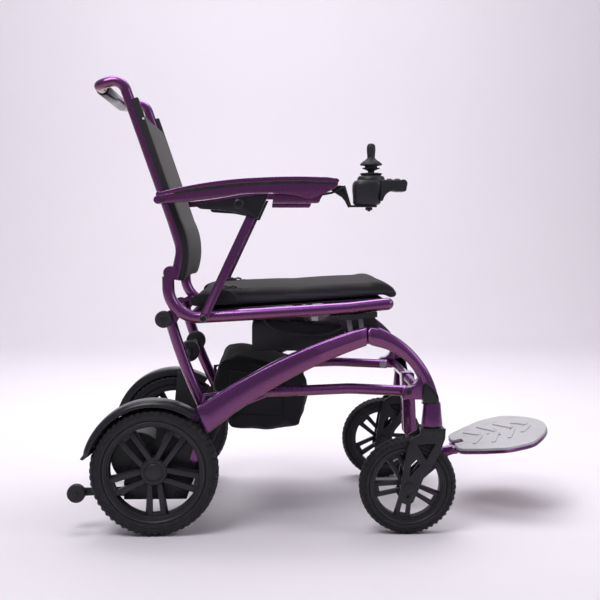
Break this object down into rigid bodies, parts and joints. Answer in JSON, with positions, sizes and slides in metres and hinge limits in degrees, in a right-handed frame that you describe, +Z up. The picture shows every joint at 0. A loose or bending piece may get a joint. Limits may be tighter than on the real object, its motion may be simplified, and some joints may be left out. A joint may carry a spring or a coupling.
{
  "type": "folding power wheelchair",
  "caption": "Folding power wheelchair with arched box-beam side frames, drive wheels with fenders, front casters, joystick armrest and fold-up footplate.",
  "frame": {"origin": "middle of the overall length and width, on the floor", "axes": "+X forwards in the driving direction, +Y to the user's left, +Z up"},
  "size_m": [1.05, 0.574, 0.9351],
  "materials": {
    "purple_paint": "colour-shifting metallic paint, clear-coated",
    "black_metal": "satin powder coat",
    "black_plastic": "satin moulded plastic",
    "rim_plastic": "satin black rim",
    "tyre": "moulded solid tyre",
    "rubber": "matt rubber",
    "fabric": "charcoal mesh fabric",
    "steel": "bright steel",
    "silver": "silver-grey satin"
  },
  "bodies": {
    "main_frame": {"anti_tip_arms": "black_metal", "battery_box": "black_plastic", "battery_pack": "black_plastic", "cross_tubes": "purple_paint", "drive_motors": "black_metal", "fender_left": "black_plastic", "fender_right": "black_plastic", "frame_pins": "steel", "lap_belt": "fabric", "link_guides": "purple_paint", "motor_mounts": "black_metal", "rear_beam_left": "purple_paint", "rear_beam_right": "purple_paint", "seat_base": "black_metal", "seat_brackets": "black_metal", "seat_cable": "rubber", "seat_cushion": "fabric", "seat_rail_left": "purple_paint", "seat_rail_right": "purple_paint", "seat_struts": "purple_paint", "slide_bars": "steel", "storage_bag": "fabric", "transport_rollers": "rubber"},
    "front_legs": {"front_leg_right": "purple_paint", "front_leg_left": "purple_paint", "leg_caps": "black_plastic", "link_pins": "steel", "footrest_hanger": "purple_paint"},
    "lower_links": {"lower_link_right": "purple_paint", "lower_link_left": "purple_paint"},
    "backrest": {"back_frame": "purple_paint", "push_grip": "rubber", "back_cover": "fabric"},
    "footplate": {"footplate": "silver", "footplate_frame": "purple_paint"},
    "armrest_right": {"armrest_right": "purple_paint", "controller_bracket": "black_plastic", "controller_pod": "black_plastic", "joystick_boot": "rubber"},
    "arm_clamp_right": {"arm_clamp_right": "black_plastic"},
    "arm_strut_right": {"arm_strut_right": "purple_paint"},
    "caster_fork_right": {"caster_fork_right": "black_metal"},
    "caster_wheel_right": {"caster_rim_right": "rim_plastic", "caster_tyre_right": "tyre"},
    "drive_wheel_right": {"drive_rim_right": "rim_plastic", "drive_tyre_right": "tyre"},
    "anti_tip_wheel_right": {"anti_tip_wheel_right": "rubber"},
    "armrest_left": {"armrest_left": "purple_paint"},
    "arm_clamp_left": {"arm_clamp_left": "black_plastic"},
    "arm_strut_left": {"arm_strut_left": "purple_paint"},
    "caster_fork_left": {"caster_fork_left": "black_metal"},
    "caster_wheel_left": {"caster_rim_left": "rim_plastic", "caster_tyre_left": "tyre"},
    "drive_wheel_left": {"drive_rim_left": "rim_plastic", "drive_tyre_left": "tyre"},
    "anti_tip_wheel_left": {"anti_tip_wheel_left": "rubber"},
    "gimbal_ring": {"gimbal_ring": "steel"},
    "joystick": {"joystick": "rubber"},
    "speed_button": {"speed_button": "black_plastic"},
    "power_button": {"power_button": "black_plastic"}
  },
  "joints": [
    {"name": "leg_fold", "type": "hinge", "parent": "main_frame", "child": "front_legs", "pos_m": [0.11198, 0, 0.405], "axis": [0, 1, 0], "range_deg": [0, 48]},
    {"name": "link_fold", "type": "hinge", "parent": "front_legs", "child": "lower_links", "pos_m": [0.17498, 0, 0.29], "axis": [0, 1, 0], "range_deg": [-48, 0]},
    {"name": "back_fold", "type": "hinge", "parent": "main_frame", "child": "backrest", "pos_m": [-0.30702, 0, 0.535], "axis": [0, 1, 0], "range_deg": [0, 90]},
    {"name": "armrest_fold_right", "type": "hinge", "parent": "backrest", "child": "armrest_right", "pos_m": [-0.32002, -0.249, 0.682], "axis": [0, 1, 0], "range_deg": [-90, 0]},
    {"name": "clamp_slide_right", "type": "slide", "parent": "armrest_right", "child": "arm_clamp_right", "axis": [1, 0, 0], "range_m": [-0.03577, 0]},
    {"name": "strut_fold_right", "type": "hinge", "parent": "main_frame", "child": "arm_strut_right", "pos_m": [-0.24002, -0.249, 0.443], "axis": [0, 1, 0], "range_deg": [0, 43.93]},
    {"name": "armrest_fold_left", "type": "hinge", "parent": "backrest", "child": "armrest_left", "pos_m": [-0.32002, 0.249, 0.682], "axis": [0, 1, 0], "range_deg": [-90, 0]},
    {"name": "clamp_slide_left", "type": "slide", "parent": "armrest_left", "child": "arm_clamp_left", "axis": [1, 0, 0], "range_m": [-0.03577, 0]},
    {"name": "strut_fold_left", "type": "hinge", "parent": "main_frame", "child": "arm_strut_left", "pos_m": [-0.24002, 0.249, 0.443], "axis": [0, 1, 0], "range_deg": [0, 43.93]},
    {"name": "footplate_fold", "type": "hinge", "parent": "front_legs", "child": "footplate", "pos_m": [0.31598, 0, 0.121], "axis": [0, 1, 0], "range_deg": [-88, 0]},
    {"name": "caster_swivel_right", "type": "hinge", "parent": "front_legs", "child": "caster_fork_right", "pos_m": [0.22648, -0.255, 0.22], "axis": [0, 0, 1], "continuous": true},
    {"name": "caster_spin_right", "type": "hinge", "parent": "caster_fork_right", "child": "caster_wheel_right", "pos_m": [0.17698, -0.255, 0.1], "axis": [0, 1, 0], "continuous": true},
    {"name": "drive_spin_right", "type": "hinge", "parent": "main_frame", "child": "drive_wheel_right", "pos_m": [-0.34102, -0.255, 0.1315], "axis": [0, 1, 0], "continuous": true},
    {"name": "anti_tip_spin_right", "type": "hinge", "parent": "main_frame", "child": "anti_tip_wheel_right", "pos_m": [-0.50602, -0.221, 0.078], "axis": [0, 1, 0], "continuous": true},
    {"name": "caster_swivel_left", "type": "hinge", "parent": "front_legs", "child": "caster_fork_left", "pos_m": [0.22648, 0.255, 0.22], "axis": [0, 0, 1], "continuous": true},
    {"name": "caster_spin_left", "type": "hinge", "parent": "caster_fork_left", "child": "caster_wheel_left", "pos_m": [0.17698, 0.255, 0.1], "axis": [0, 1, 0], "continuous": true},
    {"name": "drive_spin_left", "type": "hinge", "parent": "main_frame", "child": "drive_wheel_left", "pos_m": [-0.34102, 0.255, 0.1315], "axis": [0, 1, 0], "continuous": true},
    {"name": "anti_tip_spin_left", "type": "hinge", "parent": "main_frame", "child": "anti_tip_wheel_left", "pos_m": [-0.50602, 0.221, 0.078], "axis": [0, 1, 0], "continuous": true},
    {"name": "stick_turn", "type": "hinge", "parent": "armrest_right", "child": "gimbal_ring", "pos_m": [0.09998, -0.249, 0.728], "axis": [1, 0, 0], "range_deg": [-18, 18], "stiffness_Nm_per_rad": 0.35},
    {"name": "stick_drive", "type": "hinge", "parent": "gimbal_ring", "child": "joystick", "pos_m": [0.09998, -0.249, 0.728], "axis": [0, 1, 0], "range_deg": [-18, 18], "stiffness_Nm_per_rad": 0.35},
    {"name": "speed_button_press", "type": "slide", "parent": "armrest_right", "child": "speed_button", "axis": [0, 0, -1], "range_m": [0, 0.0015], "stiffness_N_per_m": 400},
    {"name": "power_button_press", "type": "slide", "parent": "armrest_right", "child": "power_button", "axis": [0, 0, -1], "range_m": [0, 0.0015], "stiffness_N_per_m": 400}
  ],
  "couplings": [
    {"joint": "link_fold", "follows": "leg_fold", "ratio": -1},
    {"joint": "armrest_fold_right", "follows": "back_fold", "ratio": -1},
    {"joint": "clamp_slide_right", "follows": "back_fold", "m_per_rad": -0.022772},
    {"joint": "strut_fold_right", "follows": "back_fold", "ratio": 0.48813},
    {"joint": "armrest_fold_left", "follows": "back_fold", "ratio": -1},
    {"joint": "clamp_slide_left", "follows": "back_fold", "m_per_rad": -0.022772},
    {"joint": "strut_fold_left", "follows": "back_fold", "ratio": 0.48813}
  ]
}
